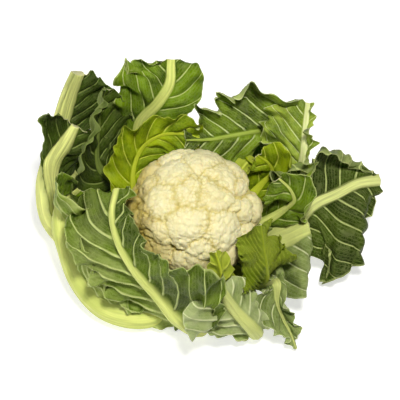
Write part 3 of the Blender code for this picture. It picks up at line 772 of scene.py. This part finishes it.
# ---- The back leaves ----------------------------------------------------------------------------
# They stand tallest and open towards the front. The one on the right hangs over like a hood, so that
# its pale underside shows.
hood_finish = leaf_finish("leaf_hood", paint(26, 44, 2), paint(112, 136, 24), paint(150, 164, 92),
                          paint(208, 218, 152), paint(158, 174, 78))
grow_leaf("leaf_back", fresh_finish, "outer_leaf", [
    (108, 24, 15, 9, 9, 0, 0, 0, 0, 17), (112, 72, 12, 13, 13, 0, 0, 0, 0, 24),
    (115, 112, 42, 18, 18, 0, 0, 0, 0, 20), (116, 127, 98, 28, 30, 0, 10, 0, 20, 12),
    (107, 125, 124, 46, 32, 0, 20, 10, 30, 11), (101, 131, 142, 48, 36, 0, 30, 0, 10, 10),
    (99, 149, 158, 42, 40, 0, 40, -10, 0, 8)], faces=(-60, -200, 240), sweep=0.1, lobe=2.3,
    ruffle=2.4, seed=23)
grow_leaf("leaf_back_right", hood_finish, "outer_leaf", [
    (54, 24, 15, 9, 9, 0, 0, 0, 0, 17), (49, 75, 12, 13, 13, 0, 0, 0, 0, 20),
    (46, 108, 46, 30, 22, 0, 0, 0, 0, 12), (46, 130, 84, 44, 24, 0, 0, 0, 20, 6),
    (50, 125, 106, 46, 46, 10, -60, -40, 80, 4), (55, 106, 116, 44, 66, 20, -70, -55, 100, 4),
    (64, 90, 118, 42, 52, 20, -60, -50, 90, 3.5), (79, 77, 118, 36, 32, 10, -40, -40, 80, 3),
    (96, 76, 117, 26, 13, 0, 0, -20, 40, 2)], faces=(0, -60, 170), lobe=1.1, ruffle=2.6, seed=29)


# ---- The right leaves ---------------------------------------------------------------------------
# A pale fan of a leaf stands behind the big dark one, whose blade curls up on one side of its rib and
# hangs down on the other. The low one below them has the broadest pale rib for its length.
fan_finish = leaf_finish("leaf_fan", paint(80, 104, 12), paint(146, 164, 52), paint(150, 164, 80),
                         paint(216, 224, 160), paint(228, 232, 168))
broad_finish = leaf_finish("leaf_broad", paint(26, 42, 2), paint(58, 76, 8), paint(104, 118, 62),
                           PALE_VEIN, paint(228, 234, 150))
grow_leaf("leaf_right_upper", fan_finish, "outer_leaf", [
    (30, 24, 31, 9, 9, 0, 0, 0, 0, 16), (28, 75, 34, 11, 11, 0, 0, 0, 0, 19),
    (27, 104, 60, 14, 13, 0, 0, 0, 0, 17), (27, 122, 90, 30, 14, 0, 20, 0, 10, 12),
    (29, 127, 108, 44, 14, 0, 40, 0, 30, 9), (34, 135, 124, 42, 14, 0, 50, 0, 40, 7),
    (41, 152, 146, 28, 8, 0, 50, 0, 40, 6)], faces=(20, -60, 190), pitch=13, ruffle=2.6, lobe=0.7,
    seed=31)
grow_leaf("leaf_right", broad_finish, "dark_leaf", [
    (4, 24, 15, 8, 8, 0, 0, 0, 0, 16), (6, 70, 12, 13, 13, 0, 0, 0, 0, 22),
    (13, 104, 32, 20, 26, 0, 10, 0, 0, 16), (17, 129, 56, 56, 72, 0, 70, 0, -20, 11),
    (17, 155, 66, 74, 82, -10, 120, 10, -50, 10), (18, 180, 70, 66, 66, -10, 130, 10, -50, 10),
    (17, 201, 72, 44, 36, -10, 130, 0, -30, 12)], faces=(60, -60, 200), sweep=-0.42, ruffle=2.0,
    seed=37)
grow_leaf("leaf_right_low", grey_finish, "grey_leaf", [
    (-14, 24, 31, 9, 9, 0, 0, 0, 0, 17), (-14, 60, 34, 14, 30, 0, 0, 0, 0, 26),
    (1, 83, 54, 17, 54, 0, 0, -10, -20, 30), (1, 99, 64, 17, 64, 0, 0, -20, -50, 30),
    (3, 115, 72, 14, 76, 0, 0, -30, -50, 24)], rib_deep=0.5, sweep=-0.35, seed=41)


# ---- The inner leaves ---------------------------------------------------------------------------
# Small, thin and yellow green, they press against the head and have only weak ribs.
tender_finish = leaf_finish("leaf_tender", paint(84, 108, 1), paint(144, 162, 10), paint(138, 152, 40),
                            paint(200, 208, 84), paint(190, 200, 60))
green_finish = leaf_finish("leaf_green", paint(34, 54, 1), paint(94, 114, 6), paint(112, 128, 34),
                           paint(140, 152, 44), paint(150, 162, 46))
grow_leaf("leaf_inner_back", tender_finish, "inner_leaf", [
    (150, 24, 45, 8, 8, 0, 0, 0, 0, 12), (146, 64, 50, 11, 11, 0, 0, 0, 0, 9),
    (138, 85, 78, 28, 30, 0, 0, 0, 0, 5), (124, 94, 102, 28, 32, 0, 20, 0, 20, 4),
    (113, 90, 115, 22, 30, 0, 20, 0, 30, 3.5), (100, 84, 119, 20, 28, 0, 20, 0, 20, 3),
    (86, 78, 118, 18, 24, 0, 20, 0, 20, 2.5)], faces=(-10, -80, 190), tip=0.05, seed=43)
grow_leaf("leaf_inner_right", fresh_finish, "inner_leaf", [
    (8, 24, 45, 8, 8, 0, 0, 0, 0, 12), (12, 68, 56, 11, 11, 0, 0, 0, 0, 11),
    (11, 95, 80, 20, 18, 0, 10, 0, 10, 6), (10, 102, 94, 24, 24, 0, 20, 0, 20, 4),
    (13, 98, 107, 24, 28, 0, 30, 0, 30, 3), (18, 89, 117, 18, 22, 0, 40, 0, 40, 2.5)],
    faces=(40, -150, 220), seed=47)
grow_leaf("leaf_inner_back_right", tender_finish, "inner_leaf", [
    (44, 24, 45, 8, 8, 0, 0, 0, 0, 13), (39, 66, 54, 10, 10, 0, 0, 0, 0, 12),
    (38, 90, 72, 26, 20, 0, 0, 0, 0, 6), (36, 99, 86, 38, 26, 0, 10, 0, 10, 4),
    (38, 97, 98, 38, 28, 0, 20, 0, 20, 3), (44, 90, 109, 26, 20, 0, 20, 0, 20, 2)],
    faces=(40, -150, 220), seed=53)
grow_leaf("leaf_inner_front_right", green_finish, "inner_leaf", [
    (-38, 24, 45, 8, 8, 0, 0, 0, 0, 13), (-38, 66, 42, 14, 14, 0, 0, 0, 0, 13),
    (-38, 88, 58, 36, 38, 0, 0, 0, 0, 8), (-39, 91, 86, 30, 36, 0, 20, 0, 10, 4),
    (-34, 81, 106, 26, 34, 0, 30, 0, 30, 3), (-27, 72, 124, 16, 20, 0, 40, 0, 50, 2)], pitch=9,
    slant=1.6, quilt=2.2, ruffle=2.2, seed=59)
grow_leaf("leaf_inner_front", tender_finish, "inner_leaf", [
    (-76, 24, 45, 6, 6, 0, 0, 0, 0, 9), (-76, 60, 48, 7, 7, 0, 0, 0, 0, 8),
    (-73, 80, 66, 14, 14, 0, 0, 0, 0, 6), (-71, 80, 88, 16, 16, 0, 0, 0, 0, 4),
    (-71, 78, 108, 12, 12, 0, 0, 0, 0, 3), (-73, 70, 130, 5, 5, 0, 0, 0, 0, 2)],
    ruffle=0.5, roll=0.5, seed=61)
